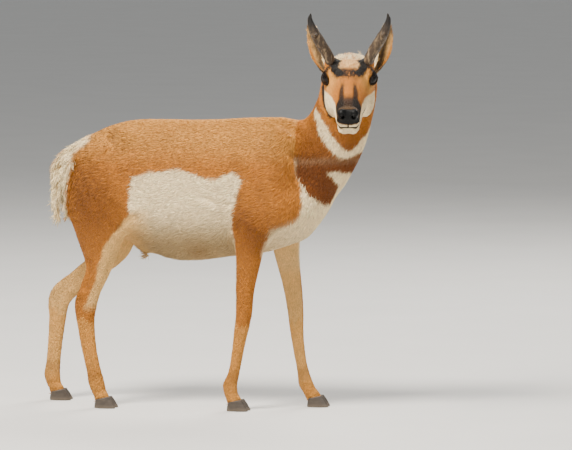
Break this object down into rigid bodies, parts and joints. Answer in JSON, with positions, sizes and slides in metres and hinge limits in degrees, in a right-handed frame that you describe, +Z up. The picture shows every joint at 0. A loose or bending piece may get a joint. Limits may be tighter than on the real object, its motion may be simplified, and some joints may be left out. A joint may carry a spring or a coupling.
{
  "type": "pronghorn",
  "caption": "Life-size still model of a young pronghorn buck standing on all fours with its head turned to its right.",
  "frame": {"origin": "middle of the model's bounding box in plan, on the floor under the hooves", "axes": "+X towards the front of the animal's body, +Y to its left, +Z up"},
  "size_m": [1.0798, 0.4256, 1.1611],
  "materials": {
    "coat": "short grainy hair, tan and white",
    "pale_hair": "long soft white hair",
    "ear": "thin skin with fine hair",
    "eye": "wet and glossy",
    "horn": "rough horn",
    "hoof": "worn horn"
  },
  "bodies": {
    "root": {"ear_left": "ear", "ear_right": "ear", "eye_left": "eye", "eye_right": "eye", "foreleg_lower_left": "coat", "foreleg_lower_right": "coat", "foreleg_upper_left": "coat", "foreleg_upper_right": "coat", "head": "coat", "hindleg_lower_left": "coat", "hindleg_lower_right": "coat", "hindleg_upper_left": "coat", "hindleg_upper_right": "coat", "hoof_fore_left_inner": "hoof", "hoof_fore_left_outer": "hoof", "hoof_fore_right_inner": "hoof", "hoof_fore_right_outer": "hoof", "hoof_hind_left_inner": "hoof", "hoof_hind_left_outer": "hoof", "hoof_hind_right_inner": "hoof", "hoof_hind_right_outer": "hoof", "horn_left": "horn", "horn_right": "horn", "neck": "coat", "tail": "pale_hair", "torso": "coat"}
  },
  "joints": []
}
